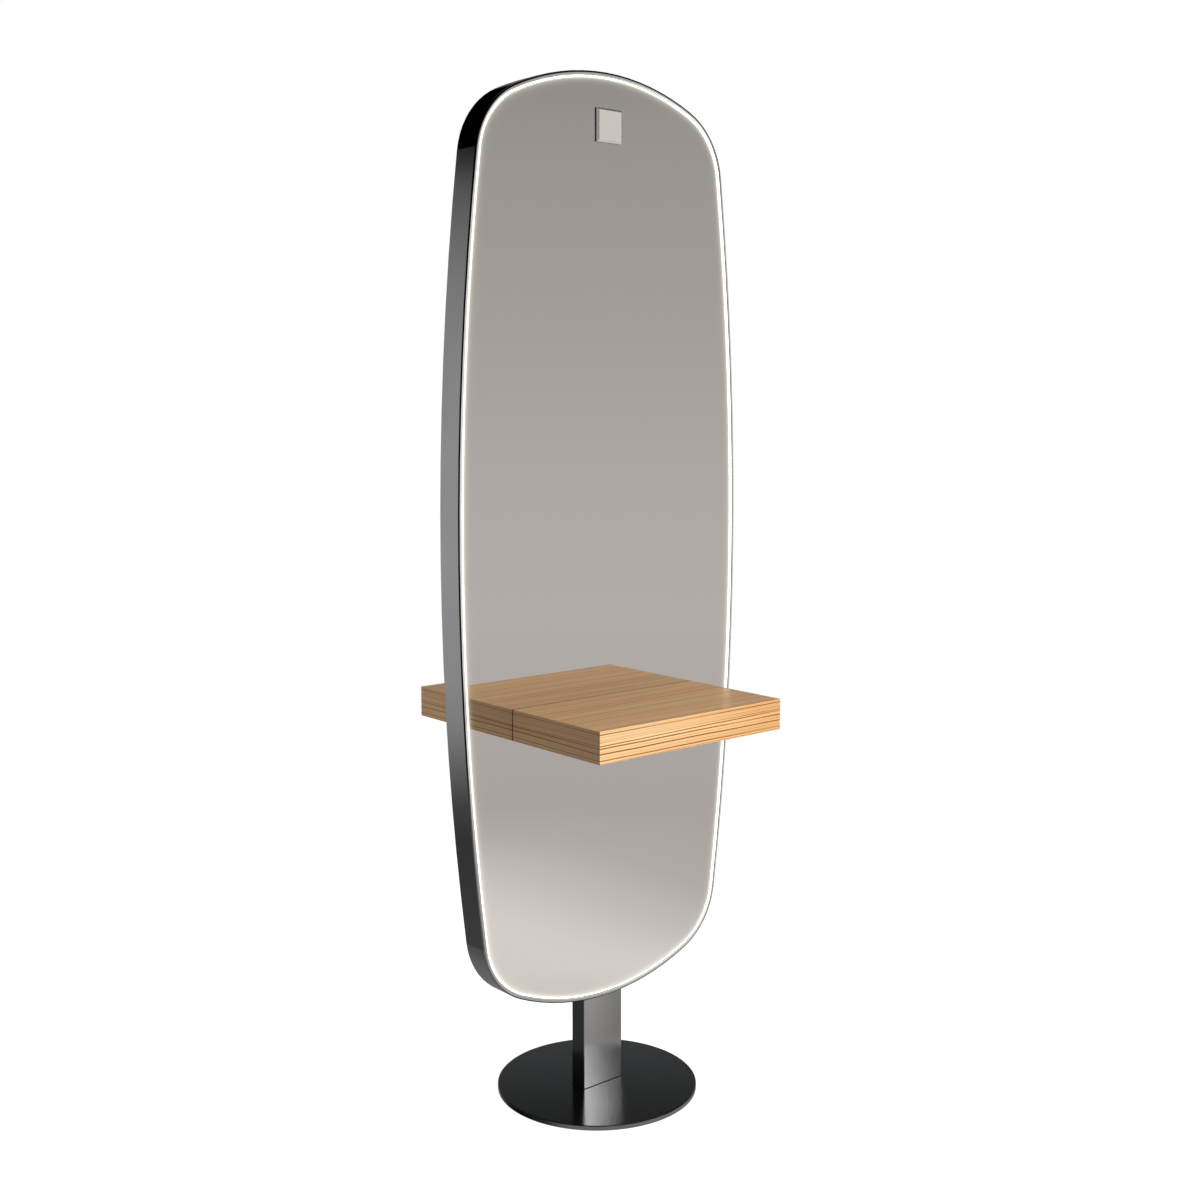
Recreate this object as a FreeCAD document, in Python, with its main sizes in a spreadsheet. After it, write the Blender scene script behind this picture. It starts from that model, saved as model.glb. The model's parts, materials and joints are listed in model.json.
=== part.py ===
import FreeCAD, Part
import math
import os
from types import SimpleNamespace

import Sketcher

# Driving sizes in millimetres: alias, value, meaning
DRIVING = (
    ("overall_height", 2000, "floor to the crown of the frame"),
    ("overall_depth", 560, "front of one shelf to the front of the other"),
    ("frame_clearance", 200, "floor to the bottom of the frame"),
    ("body_width", 700, "frame at its widest"),
    ("side_radius", 5770, "slow curve of the frame's sides"),
    ("crown_radius", 518, "curve of the frame's top and bottom"),
    ("corner_radius", 150, "curve that joins side and crown"),
    ("frame_wall", 2.5, "sheet of the frame hoop"),
    ("lip_width", 7, "width of the frame's front and rear lips"),
    ("edge_round", 3, "rounding of the frame's outer edges"),
    ("fit_gap", 0.2, "clearance between fitted pieces"),
    ("mirror_recess", 3, "glass behind the lip's face"),
    ("glass_thickness", 4, "mirror glass"),
    ("panel_thickness", 3, "backing panel"),
    ("ring_width", 5.2, "lit ring between lip and glass"),
    ("ring_proud", 0.5, "lit ring in front of the glass"),
    ("channel_wall", 0.8, "sheet of the light channel"),
    ("channel_flange", 16, "light channel across its flat"),
    ("channel_drop", 0.5, "channel's edge behind the glass face"),
    ("strip_thickness", 1.2, "light strip"),
    ("strip_gap", 0.8, "between light strip and lit ring"),
    ("plaque_side", 62, "square plaque"),
    ("plaque_thickness", 6.5, "plaque front to back"),
    ("plaque_bevel", 4, "bevel around the plaque's face"),
    ("plaque_drop", 96.5, "crown down to the plaque's centre"),
    ("plaque_shift", 5.5, "plaque's centre right of the middle"),
    ("post_width", 100, "post seen from the front"),
    ("post_depth", 38, "post seen from the side"),
    ("post_wall", 3, "post tube wall"),
    ("post_round", 1.5, "rounding of the post's corners"),
    ("post_head", 30, "post above the upper crossbar"),
    ("cap_plug", 20, "post cap's plug inside the tube"),
    ("cap_top", 4, "post cap above the tube"),
    ("bar_height", 30, "crossbar tube, upright"),
    ("bar_depth", 30, "crossbar tube, front to back"),
    ("bar_wall", 2, "crossbar tube wall"),
    ("bar_inset", 230, "lower and upper crossbars in from the crowns"),
    ("cleat_gap", 25, "hook batten's inner end from the post"),
    ("cleat_length", 140, "hook batten along the crossbar"),
    ("cleat_height", 40, "hook batten, upright"),
    ("cleat_hook", 5, "thickness of the hook over the crossbar"),
    ("cleat_reach", 10, "hook over the crossbar, front to back"),
    ("shelf_width", 460, "shelf along the mirror"),
    ("shelf_thickness", 60, "shelf, upright"),
    ("shelf_top", 818, "shelf's top above the floor"),
    ("shelf_wall", 12, "veneered board of the shelf's shell"),
    ("shelf_edge", 0.8, "rounding of the shelf's edges"),
    ("shelf_gap", 0.3, "shelf in front of the glass"),
    ("rod_diameter", 16, "shelf rod"),
    ("rod_spacing", 300, "between the shelf rods"),
    ("rod_stop", 63, "shelf rod's tip behind the shelf's front"),
    ("rod_clearance", 1, "around the rod in glass and panel"),
    ("grub_diameter", 8, "grub screw under the shelf"),
    ("grub_reach", 60, "grub screw in front of the glass"),
    ("base_height", 10, "base cover's top above the floor"),
    ("cover_diameter", 406, "base cover"),
    ("cover_sheet", 2, "base cover's sheet"),
    ("cover_round", 1.5, "rounding of the base cover's rim"),
    ("cover_gap", 0.3, "around the plate and the post"),
    ("floor_gap", 0.5, "cover's rim above the floor"),
    ("anchor_circle", 300, "circle of the floor anchors"),
    ("anchor_hole", 11, "floor anchor hole"),
    ("screw_diameter", 10, "screws between plate and post"),
    ("screw_head", 19, "countersunk head"),
    ("screw_spacing", 64, "between the post's screws"),
    ("screw_tip", 34, "tip of the post's screws above the floor"),
    ("foot_height", 40, "foot block in the post"),
    ("cable_hole", 20, "cable hole through plate and block"),
    ("grommet_bore", 14, "cable grommet's bore"),
    ("grommet_rim", 3, "cable grommet's flange beyond its sleeve"),
    ("grommet_lip", 2, "thickness of the grommet's flange"),
    ("button_gap", 70, "light button's middle from the post"),
    ("button_cap", 12, "button cap's diameter"),
    ("button_play", 0.3, "around the cap in its barrel"),
    ("button_wall", 1.7, "wall of the button's barrel"),
    ("button_flange", 2, "button's flange beyond its barrel"),
    ("button_rim", 1.5, "thickness of the button's flange"),
    ("button_length", 22, "barrel inside the frame"),
    ("button_proud", 2, "cap in front of the flange"),
    ("button_sunk", 6, "cap inside the frame's face"),
    ("button_travel", 2, "cap's way in"),
    ("nut_thickness", 4, "ring nut behind the frame wall"),
    ("block_width", 35, "terminal block out from the post"),
    ("block_depth", 24, "terminal block front to back"),
    ("block_height", 30, "terminal block, upright"),
    ("driver_drop", 10, "driver's upper tab below the terminal block"),
    ("driver_length", 120, "driver, upright, without its tabs"),
    ("driver_width", 30, "driver front to back"),
    ("driver_reach", 26, "driver out from the post"),
    ("driver_tab", 15, "fixing tab at each end of the driver"),
    ("tab_thickness", 3, "driver's fixing tab"),
    ("tab_screw", 4, "driver's screws"),
    ("tab_screw_head", 8, "head of the driver's screws"),
    ("tab_screw_length", 12, "driver's screws"),
    ("lead_diameter", 3, "wires inside the frame"),
    ("lead_drop", 20, "wires below the crossbar"),
    ("lead_entry", 15, "light's wire below the driver's top"),
    ("wire_hole", 14, "wire holes through the post"),
)

anchor_count = 4
largest_bend = 0.45  # share of the shorter run that a wire's bend takes up

doc = FreeCAD.newDocument("styling_station")
sheet = doc.addObject("Spreadsheet::Sheet", "Sizes")
for row, (alias, value, meaning) in enumerate(DRIVING, start=1):
    sheet.set(f"A{row}", alias)
    sheet.set(f"B{row}", str(value))
    sheet.set(f"C{row}", meaning)
    sheet.setAlias(f"B{row}", alias)
doc.recompute()


class Size:
    """A length worked out from sheet cells: the expression that binds it, and its value."""

    def __init__(self, text, value):
        self.text = text
        self.value = value

    def __add__(self, other):
        other = as_size(other)
        return Size(f"({self.text} + {other.text})", self.value + other.value)

    def __sub__(self, other):
        other = as_size(other)
        return Size(f"({self.text} - {other.text})", self.value - other.value)

    def __mul__(self, factor):
        return Size(f"({self.text} * {factor})", self.value * factor)

    def __truediv__(self, divisor):
        return Size(f"({self.text} / {divisor})", self.value / divisor)

    def __neg__(self):
        return Size(f"(-{self.text})", -self.value)


def as_size(thing):
    return thing if isinstance(thing, Size) else Size(f"({float(thing)!r})", float(thing))


s = SimpleNamespace(**{alias: Size(f"Sizes.{alias}", float(sheet.get(alias))) for alias, _, _ in DRIVING})

# Heights
body_height = s.overall_height - s.frame_clearance
mid_height = s.frame_clearance + body_height / 2
lower_bar = s.frame_clearance + s.bar_inset
upper_bar = s.overall_height - s.bar_inset
lead_height = lower_bar - s.bar_height / 2 - s.lead_drop
block_bottom = lead_height - s.block_height / 2
driver_top = block_bottom - s.driver_drop - s.driver_tab
driver_bottom = driver_top - s.driver_length
driver_middle = driver_top - s.driver_length / 2
tab_screw_heights = (driver_top + s.driver_tab / 2, driver_bottom - s.driver_tab / 2)
feed_height = driver_top - s.lead_entry
shelf_height = s.shelf_top - s.shelf_thickness / 2
shelf_bottom = s.shelf_top - s.shelf_thickness
plate_top = s.base_height - s.cover_sheet
post_top = upper_bar + s.bar_height / 2 + s.post_head

# Depths from the middle plane towards the viewer
panel_back = s.post_depth / 2 + s.fit_gap + s.channel_wall
glass_back = panel_back + s.panel_thickness
glass_face = glass_back + s.glass_thickness
body_depth = (glass_face + s.mirror_recess) * 2
ring_back = panel_back + s.strip_thickness + s.strip_gap
ring_front = glass_face + s.ring_proud
shelf_back = glass_face + s.shelf_gap
shelf_front = s.overall_depth / 2
rod_end = shelf_front - s.rod_stop
grub_depth = glass_face + s.grub_reach

# Insets from the frame's outline
channel_inset = s.lip_width + s.fit_gap
ring_outer = channel_inset + s.channel_wall + s.fit_gap
ring_inner = ring_outer + s.ring_width
glass_inset = ring_inner + s.fit_gap
hoop_inside = s.frame_wall + s.fit_gap

# Places to the right of the middle
post_side = s.post_width / 2
rod_place = s.rod_spacing / 2
screw_place = s.screw_spacing / 2
cleat_start = post_side + s.cleat_gap
driver_face = post_side + s.driver_reach
supply_place = post_side + s.driver_reach / 2
button_spread = post_side + s.button_gap

# Radii that several pieces share
rod_bore = s.rod_diameter / 2 + s.fit_gap
grommet_radius = s.cable_hole / 2 + s.grommet_rim
button_bore = s.button_cap / 2 + s.button_play
button_thread = button_bore + s.button_wall
button_edge = button_thread + s.button_flange

no_turn = FreeCAD.Placement()
half_turn = FreeCAD.Placement(FreeCAD.Vector(), FreeCAD.Rotation(FreeCAD.Vector(0, 0, 1), 180))
parts = []


def new_body(label, turn=no_turn):
    body = doc.addObject("PartDesign::Body", label)
    body.Label = label
    body.AllowCompound = True
    body.Placement = turn
    parts.append(body)
    return body


def bind(thing, name, size):
    thing.setExpression(name, as_size(size).text)


def origin_feature(body, role):
    return next(feature for feature in body.Origin.OriginFeatures if feature.Role == role)


def plane_sketch(body, role):
    sketch = body.newObject("Sketcher::SketchObject", f"{body.Label}_sketch")
    sketch.AttachmentSupport = [(origin_feature(body, role), "")]
    sketch.MapMode = "FlatFace"
    return sketch


def new_sketch(body, role, across=0, up=0, out=0):
    """A sketch on an origin plane, moved in the plane and out along its normal."""
    sketch = plane_sketch(body, role)
    bind(sketch, "AttachmentOffset.Base.x", across)
    bind(sketch, "AttachmentOffset.Base.y", up)
    bind(sketch, "AttachmentOffset.Base.z", out)
    return sketch


def face_sketch(body, depth=0):
    """A sketch parallel to the mirror, centred on the frame; depth runs towards the viewer."""
    return new_sketch(body, "XZ_Plane", up=mid_height, out=depth)


def fix_number(sketch, kind, numbers, size):
    index = sketch.addConstraint(Sketcher.Constraint(kind, *numbers, size.value))
    bind(sketch, f"Constraints[{index}]", size)


def fix_point(sketch, shape, end, x, y):
    for kind, axis, size in (("DistanceX", -2, as_size(x)), ("DistanceY", -1, as_size(y))):
        if size.value == 0:
            sketch.addConstraint(Sketcher.Constraint("PointOnObject", shape, end, axis))
        else:
            fix_number(sketch, kind, (-1, 1, shape, end), size)


def polygon(sketch, points):
    points = [(as_size(x), as_size(y)) for x, y in points]
    corners = [FreeCAD.Vector(x.value, y.value, 0) for x, y in points]
    first = sketch.GeometryCount
    count = len(points)
    for i in range(count):
        sketch.addGeometry(Part.LineSegment(corners[i], corners[(i + 1) % count]), False)
    for i, (x, y) in enumerate(points):
        following = first + (i + 1) % count
        sketch.addConstraint(Sketcher.Constraint("Coincident", first + i, 2, following, 1))
        fix_point(sketch, first + i, 1, x, y)


def rectangle(sketch, left, right, bottom, top):
    polygon(sketch, ((left, bottom), (right, bottom), (right, top), (left, top)))


def centred(sketch, width, height):
    rectangle(sketch, -(width / 2), width / 2, -(height / 2), height / 2)


def circle(sketch, x, y, radius):
    centre = FreeCAD.Vector(as_size(x).value, as_size(y).value, 0)
    shape = sketch.addGeometry(Part.Circle(centre, FreeCAD.Vector(0, 0, 1), radius.value), False)
    fix_point(sketch, shape, 3, x, y)
    fix_number(sketch, "Radius", (shape,), radius)


def circle_pair(sketch, place, y, radius):
    for side in (1, -1):
        circle(sketch, place * side, y, radius)


def corner_centre():
    """Centre of the upper right corner arc, which touches a side arc and a crown arc."""
    side_x = s.body_width.value / 2 - s.side_radius.value
    crown_y = body_height.value / 2 - s.crown_radius.value
    from_side = s.side_radius.value - s.corner_radius.value
    from_crown = s.crown_radius.value - s.corner_radius.value
    apart = math.hypot(side_x, crown_y)
    along = (from_side**2 - from_crown**2 + apart**2) / (2 * apart)
    aside = math.sqrt(from_side**2 - along**2)
    to_crown = FreeCAD.Vector(-side_x, crown_y, 0) / apart
    upwards = FreeCAD.Vector(-to_crown.y, to_crown.x, 0)
    centre = FreeCAD.Vector(side_x, 0, 0) + to_crown * along + upwards * aside
    return centre.x, centre.y


def outline(sketch, inset):
    """The frame's outline drawn inwards by inset: eight arcs, each tangent to the next."""
    side = s.body_width / 2 - s.side_radius
    crown = body_height / 2 - s.crown_radius
    x, y = corner_centre()
    low = math.atan2(y, x - side.value)
    high = math.atan2(y - crown.value, x)
    half = math.pi
    ends = (-low, low, high, half - high, half - low)
    ends += (half + low, half + high, 2 * half - high, 2 * half - low)
    centres = ((side.value, 0), (x, y), (0, crown.value), (-x, y))
    centres += ((-side.value, 0), (-x, -y), (0, -crown.value), (x, -y))
    corner_size = s.corner_radius - inset
    radii = (s.side_radius - inset, corner_size, s.crown_radius - inset, corner_size) * 2
    first = sketch.GeometryCount
    for i, (across, up) in enumerate(centres):
        whole = Part.Circle(FreeCAD.Vector(across, up, 0), FreeCAD.Vector(0, 0, 1), radii[i].value)
        sketch.addGeometry(Part.ArcOfCircle(whole, ends[i], ends[i + 1]), False)
    for i, radius in enumerate(radii):
        following = first + (i + 1) % len(radii)
        sketch.addConstraint(Sketcher.Constraint("Tangent", first + i, 2, following, 1))
        fix_number(sketch, "Radius", (first + i,), radius)
    fix_point(sketch, first, 3, side, 0)
    fix_point(sketch, first + 2, 3, 0, crown)
    fix_point(sketch, first + 4, 3, -side, 0)
    fix_point(sketch, first + 6, 3, 0, -crown)


def outline_half_width(height, inset):
    """Half width of the inset outline at a height from the frame's middle."""
    corner_x, corner_y = corner_centre()
    side_x = s.body_width.value / 2 - s.side_radius.value
    meeting = s.side_radius.value * math.sin(math.atan2(corner_y, corner_x - side_x))
    if abs(height) <= meeting:
        return side_x + math.sqrt((s.side_radius.value - inset) ** 2 - height**2)
    return corner_x + math.sqrt((s.corner_radius.value - inset) ** 2 - (abs(height) - corner_y) ** 2)


def extrude(kind, body, sketch, length, middle, back):
    feature = body.newObject(f"PartDesign::{kind}", f"{body.Label}_{kind.lower()}")
    feature.Profile = sketch
    bind(feature, "Length", length)
    feature.Midplane = middle
    feature.Reversed = back
    doc.recompute()
    return feature


def pad(body, sketch, length, middle=False, back=False):
    return extrude("Pad", body, sketch, length, middle, back)


def pocket(body, sketch, length, middle=False, back=False):
    before = body.Shape.Volume
    feature = extrude("Pocket", body, sketch, length, middle, back)
    if body.Shape.Volume >= before:
        raise RuntimeError(f"a pocket of {body.Label} cuts nothing")
    return feature


def revolve(body, sketch):
    feature = body.newObject("PartDesign::Revolution", f"{body.Label}_revolution")
    feature.Profile = sketch
    feature.ReferenceAxis = (sketch, ["V_Axis"])
    feature.Angle = 360
    doc.recompute()
    return feature


def mirror_across(body, feature, role):
    copy = body.newObject("PartDesign::Mirrored", f"{body.Label}_mirrored")
    copy.Originals = [feature]
    copy.MirrorPlane = (origin_feature(body, role), [""])
    body.Tip = copy
    doc.recompute()


def dress(body, kind, feature, size, wanted):
    """A Fillet or Chamfer of the edges that wanted picks."""
    names = [f"Edge{i}" for i, edge in enumerate(feature.Shape.Edges, start=1) if wanted(edge)]
    finish = body.newObject(f"PartDesign::{kind}", f"{body.Label}_{kind.lower()}")
    finish.Base = (feature, names)
    bind(finish, "Radius" if kind == "Fillet" else "Size", size)
    doc.recompute()


def near(a, b):
    return abs(a - b) < 1e-4


def is_upright(edge):
    return near(edge.BoundBox.XLength, 0) and near(edge.BoundBox.YLength, 0)


# Base and post


def base_plate():
    body = new_body("base_plate")
    sketch = new_sketch(body, "XY_Plane")
    circle(sketch, 0, 0, s.cover_diameter / 2 - s.cover_sheet - s.cover_gap)
    pad(body, sketch, plate_top)
    sketch = new_sketch(body, "XY_Plane")
    circle(sketch, 0, 0, s.cable_hole / 2)
    screw_hole = s.screw_diameter / 2 + s.fit_gap
    circle_pair(sketch, screw_place, 0, screw_hole)
    holes = pocket(body, sketch, plate_top, back=True)

    def is_screw_mouth(edge):
        return near(edge.BoundBox.ZMax, 0) and near(edge.BoundBox.XLength, 2 * screw_hole.value)

    dress(body, "Chamfer", holes, s.screw_head / 2 - s.screw_diameter / 2, is_screw_mouth)
    sketch = new_sketch(body, "XY_Plane")
    circle(sketch, s.anchor_circle / 2, 0, s.anchor_hole / 2)
    hole = pocket(body, sketch, plate_top, back=True)
    anchors = body.newObject("PartDesign::PolarPattern", "base_plate_anchors")
    anchors.Originals = [hole]
    anchors.Axis = (origin_feature(body, "Z_Axis"), [""])
    anchors.Angle = 360
    anchors.Occurrences = anchor_count
    body.Tip = anchors
    doc.recompute()


def base_screws():
    body = new_body("base_screws")
    sketch = new_sketch(body, "XZ_Plane", across=screw_place)
    shank = s.screw_diameter / 2
    head = s.screw_head / 2 - s.floor_gap
    polygon(sketch, (
        (0, s.floor_gap), (head, s.floor_gap), (shank, s.floor_gap + head - shank),
        (shank, s.screw_tip), (0, s.screw_tip),
    ))
    mirror_across(body, revolve(body, sketch), "YZ_Plane")


def base_cover():
    """Polished disc with a turned-down rim; it lifts up the post."""
    body = new_body("base_cover")
    sketch = new_sketch(body, "XY_Plane", out=s.floor_gap)
    circle(sketch, 0, 0, s.cover_diameter / 2)
    disc = pad(body, sketch, s.base_height - s.floor_gap)
    dress(body, "Fillet", disc, s.cover_round, lambda edge: near(edge.BoundBox.ZMin, s.base_height.value))
    sketch = new_sketch(body, "XY_Plane", out=s.floor_gap)
    circle(sketch, 0, 0, s.cover_diameter / 2 - s.cover_sheet)
    pocket(body, sketch, plate_top - s.floor_gap, back=True)
    sketch = new_sketch(body, "XY_Plane")
    centred(sketch, s.post_width + s.cover_gap * 2, s.post_depth + s.cover_gap * 2)
    pocket(body, sketch, s.base_height, back=True)


def post_bore(sketch, gap):
    """The inside of the post tube, less a gap all round."""
    inside = (s.post_wall + gap) * 2
    centred(sketch, s.post_width - inside, s.post_depth - inside)


def post_foot_block():
    body = new_body("post_foot_block")
    sketch = new_sketch(body, "XY_Plane", out=plate_top)
    post_bore(sketch, s.fit_gap)
    circle(sketch, 0, 0, s.cable_hole / 2)
    circle_pair(sketch, screw_place, 0, s.screw_diameter / 2 + s.fit_gap / 2)
    pad(body, sketch, s.foot_height)
    sketch = new_sketch(body, "XY_Plane", out=plate_top)
    circle(sketch, 0, 0, grommet_radius + s.fit_gap)
    pocket(body, sketch, s.grommet_lip + s.fit_gap, back=True)


def cable_grommet():
    body = new_body("cable_grommet")
    sketch = new_sketch(body, "XZ_Plane")
    bore = s.grommet_bore / 2
    sleeve = s.cable_hole / 2 - s.fit_gap / 2
    top = plate_top + s.grommet_lip
    polygon(sketch, (
        (bore, s.floor_gap), (sleeve, s.floor_gap), (sleeve, plate_top),
        (grommet_radius, plate_top), (grommet_radius, top), (bore, top),
    ))
    revolve(body, sketch)


def post():
    body = new_body("post")
    sketch = new_sketch(body, "XY_Plane", out=plate_top)
    centred(sketch, s.post_width, s.post_depth)
    column = pad(body, sketch, post_top - plate_top)
    dress(body, "Fillet", column, s.post_round, is_upright)
    sketch = new_sketch(body, "XY_Plane", out=plate_top)
    post_bore(sketch, 0)
    pocket(body, sketch, post_top - plate_top, back=True)
    sketch = new_sketch(body, "YZ_Plane")
    half_deep = s.bar_depth / 2 + s.fit_gap
    half_high = s.bar_height / 2 + s.fit_gap
    for height in (lower_bar, shelf_height, upper_bar):
        rectangle(sketch, -half_deep, half_deep, height - half_high, height + half_high)
    circle(sketch, 0, lead_height, s.wire_hole / 2)
    for height in tab_screw_heights:
        circle(sketch, 0, height, s.tab_screw / 2 + s.fit_gap)
    pocket(body, sketch, s.post_width, middle=True)


def post_cap():
    body = new_body("post_cap")
    sketch = new_sketch(body, "XY_Plane", out=post_top)
    centred(sketch, s.post_width, s.post_depth)
    top = pad(body, sketch, s.cap_top)
    dress(body, "Fillet", top, s.post_round, is_upright)
    sketch = new_sketch(body, "XY_Plane", out=post_top)
    post_bore(sketch, s.fit_gap)
    pad(body, sketch, s.cap_plug, back=True)


# Frame hoop and the crossbars in it


def button_place():
    """Where a light button's axis leaves the frame's underside, its own Z pointing out."""
    lean = math.asin(button_spread.value / s.crown_radius.value)
    height = s.frame_clearance.value + s.crown_radius.value * (1 - math.cos(lean))
    spot = FreeCAD.Vector(button_spread.value, 0, height)
    return FreeCAD.Placement(spot, FreeCAD.Rotation(FreeCAD.Vector(0, 1, 0), 180 - math.degrees(lean)))


def frame_hoop():
    """A rolled channel: outer wall and two lips, open for the post and the light buttons."""
    body = new_body("frame_hoop")
    sketch = face_sketch(body)
    outline(sketch, 0)
    band = pad(body, sketch, body_depth, middle=True)
    dress(body, "Fillet", band, s.edge_round, lambda edge: edge.Curve.TypeId == "Part::GeomCircle")
    sketch = face_sketch(body)
    outline(sketch, s.lip_width)
    pocket(body, sketch, body_depth, middle=True)
    sketch = face_sketch(body)
    outline(sketch, s.frame_wall)
    pocket(body, sketch, body_depth - s.frame_wall * 2, middle=True)
    sketch = new_sketch(body, "XY_Plane", out=s.frame_clearance - s.frame_wall)
    centred(sketch, s.post_width + s.fit_gap * 2, s.post_depth + s.fit_gap * 2)
    pocket(body, sketch, s.frame_wall * 2 + s.lip_width, back=True)
    for turn in (no_turn, half_turn):
        sketch = plane_sketch(body, "XY_Plane")
        sketch.AttachmentOffset = turn * button_place()
        circle(sketch, 0, 0, button_thread + s.fit_gap)
        pocket(body, sketch, s.frame_wall * 4, middle=True)


def crossbar(label, height):
    """A tube through the post whose ends are coped to the inside of the frame hoop."""
    body = new_body(label)
    sketch = new_sketch(body, "YZ_Plane", up=height)
    centred(sketch, s.bar_depth, s.bar_height)
    centred(sketch, s.bar_depth - s.bar_wall * 2, s.bar_height - s.bar_wall * 2)
    pad(body, sketch, s.body_width, middle=True)
    sketch = face_sketch(body)
    outline(sketch, hoop_inside)
    centred(sketch, s.body_width * 2, body_height * 2)
    pocket(body, sketch, body_depth, middle=True)
    return body


def shelf_crossbar():
    body = crossbar("shelf_crossbar", shelf_height)
    sketch = new_sketch(body, "XZ_Plane", up=shelf_height)
    circle_pair(sketch, rod_place, 0, rod_bore)
    pocket(body, sketch, s.bar_depth, middle=True)


def shelf_rod(label, side):
    body = new_body(label)
    sketch = new_sketch(body, "XZ_Plane", up=shelf_height)
    circle(sketch, rod_place * side, 0, s.rod_diameter / 2)
    pad(body, sketch, rod_end * 2, middle=True)


# Mirror sides: every piece is made for the front, and turned half round for the rear


def rod_holes(body, depth, radius, length):
    sketch = new_sketch(body, "XZ_Plane", up=shelf_height, out=depth)
    circle_pair(sketch, rod_place, 0, radius)
    pocket(body, sketch, length, back=True)


def sheet_piece(label, turn, back, thickness):
    """A sheet with the glass's outline, drilled for the shelf rods."""
    body = new_body(label, turn)
    sketch = face_sketch(body, back)
    outline(sketch, glass_inset)
    pad(body, sketch, thickness)
    rod_holes(body, back, s.rod_diameter / 2 + s.rod_clearance, thickness)


def ring_piece(body, outer, inner, back, front):
    sketch = face_sketch(body, back)
    outline(sketch, outer)
    outline(sketch, inner)
    pad(body, sketch, front - back)


def strip_feed():
    """How far from the middle the light's wire meets the strip."""
    return outline_half_width((feed_height - mid_height).value, (ring_outer + ring_inner).value / 2)


def led_channel(label, turn):
    body = new_body(label, turn)
    back = panel_back - s.channel_wall
    ring_piece(body, channel_inset, channel_inset + s.channel_flange, back, panel_back)
    ring_piece(body, channel_inset, channel_inset + s.channel_wall, panel_back, glass_face - s.channel_drop)
    sketch = new_sketch(body, "XZ_Plane", out=back)
    circle(sketch, strip_feed(), feed_height, s.lead_diameter / 2 + s.fit_gap)
    pocket(body, sketch, s.channel_wall, back=True)


def led_strip(label, turn):
    front = panel_back + s.strip_thickness
    ring_piece(new_body(label, turn), ring_outer + s.fit_gap, ring_inner - s.fit_gap, panel_back, front)


def diffuser(label, turn):
    ring_piece(new_body(label, turn), ring_outer, ring_inner, ring_back, ring_front)


def cleats(label, turn, height):
    """A pair of hook battens on the panel's back that hang over a crossbar."""
    body = new_body(label, turn)
    sketch = new_sketch(body, "YZ_Plane", up=height, out=cleat_start)
    bar_face = s.bar_depth / 2 + s.fit_gap
    hook_end = s.bar_depth / 2 - s.cleat_reach
    bar_top = s.bar_height / 2
    top = bar_top + s.cleat_hook
    bottom = top - s.cleat_height
    polygon(sketch, (
        (-panel_back, top), (-panel_back, bottom), (-bar_face, bottom), (-bar_face, bar_top),
        (-hook_end, bar_top), (-hook_end, top),
    ))
    mirror_across(body, pad(body, sketch, s.cleat_length), "YZ_Plane")


def plaque(label, turn):
    body = new_body(label, turn)
    height = s.overall_height - s.plaque_drop
    sketch = new_sketch(body, "XZ_Plane", across=s.plaque_shift, up=height, out=glass_face)
    centred(sketch, s.plaque_side, s.plaque_side)
    block = pad(body, sketch, s.plaque_thickness)
    front = -(glass_face + s.plaque_thickness).value
    dress(body, "Chamfer", block, s.plaque_bevel, lambda edge: near(edge.BoundBox.YMax, front))


# Shelves


def grub_holes(body, bottom, length, play):
    sketch = new_sketch(body, "XY_Plane", out=bottom)
    circle_pair(sketch, rod_place, -grub_depth, s.grub_diameter / 2 + play)
    pocket(body, sketch, length, back=True)


def shelf_shell(label, turn):
    """Mitre-folded veneered boards: top, bottom, front and ends, open towards the mirror."""
    body = new_body(label, turn)
    sketch = new_sketch(body, "XZ_Plane", up=shelf_height, out=shelf_back)
    centred(sketch, s.shelf_width, s.shelf_thickness)
    block = pad(body, sketch, shelf_front - shelf_back)
    dress(body, "Fillet", block, s.shelf_edge, lambda edge: not near(edge.BoundBox.YMin, -shelf_back.value))
    sketch = new_sketch(body, "XZ_Plane", up=shelf_height, out=shelf_back)
    centred(sketch, s.shelf_width - s.shelf_wall * 2, s.shelf_thickness - s.shelf_wall * 2)
    pocket(body, sketch, shelf_front - shelf_back - s.shelf_wall, back=True)
    grub_holes(body, shelf_bottom, s.shelf_wall, s.fit_gap * 2)


def shelf_inside(label, turn, back, front):
    """A block that fills the shell from back to front."""
    body = new_body(label, turn)
    sketch = new_sketch(body, "XZ_Plane", up=shelf_height, out=back)
    inside = (s.shelf_wall + s.fit_gap) * 2
    centred(sketch, s.shelf_width - inside, s.shelf_thickness - inside)
    pad(body, sketch, front - back)
    return body


def shelf_back_rail(label, turn):
    body = shelf_inside(label, turn, shelf_back, shelf_back + s.shelf_wall)
    rod_holes(body, shelf_back, rod_bore, s.shelf_wall)


def shelf_core(label, turn):
    back = shelf_back + s.shelf_wall
    body = shelf_inside(label, turn, back, shelf_front - s.shelf_wall)
    rod_holes(body, back, rod_bore, rod_end + s.rod_clearance - back)
    bottom = shelf_bottom + s.shelf_wall + s.fit_gap
    grub_holes(body, bottom, shelf_height - bottom, s.fit_gap / 2)


def shelf_grub_screws(label, turn):
    body = new_body(label, turn)
    bottom = shelf_bottom + s.shelf_wall
    sketch = new_sketch(body, "XY_Plane", out=bottom)
    circle_pair(sketch, rod_place, -grub_depth, s.grub_diameter / 2)
    pad(body, sketch, shelf_height - s.rod_diameter / 2 - bottom)


# Light buttons


def button_piece(label, turn, profile):
    """A turned piece on a light button's axis; heights run out of the frame."""
    body = new_body(label, turn * button_place())
    sketch = new_sketch(body, "XZ_Plane")
    polygon(sketch, profile)
    revolve(body, sketch)


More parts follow.
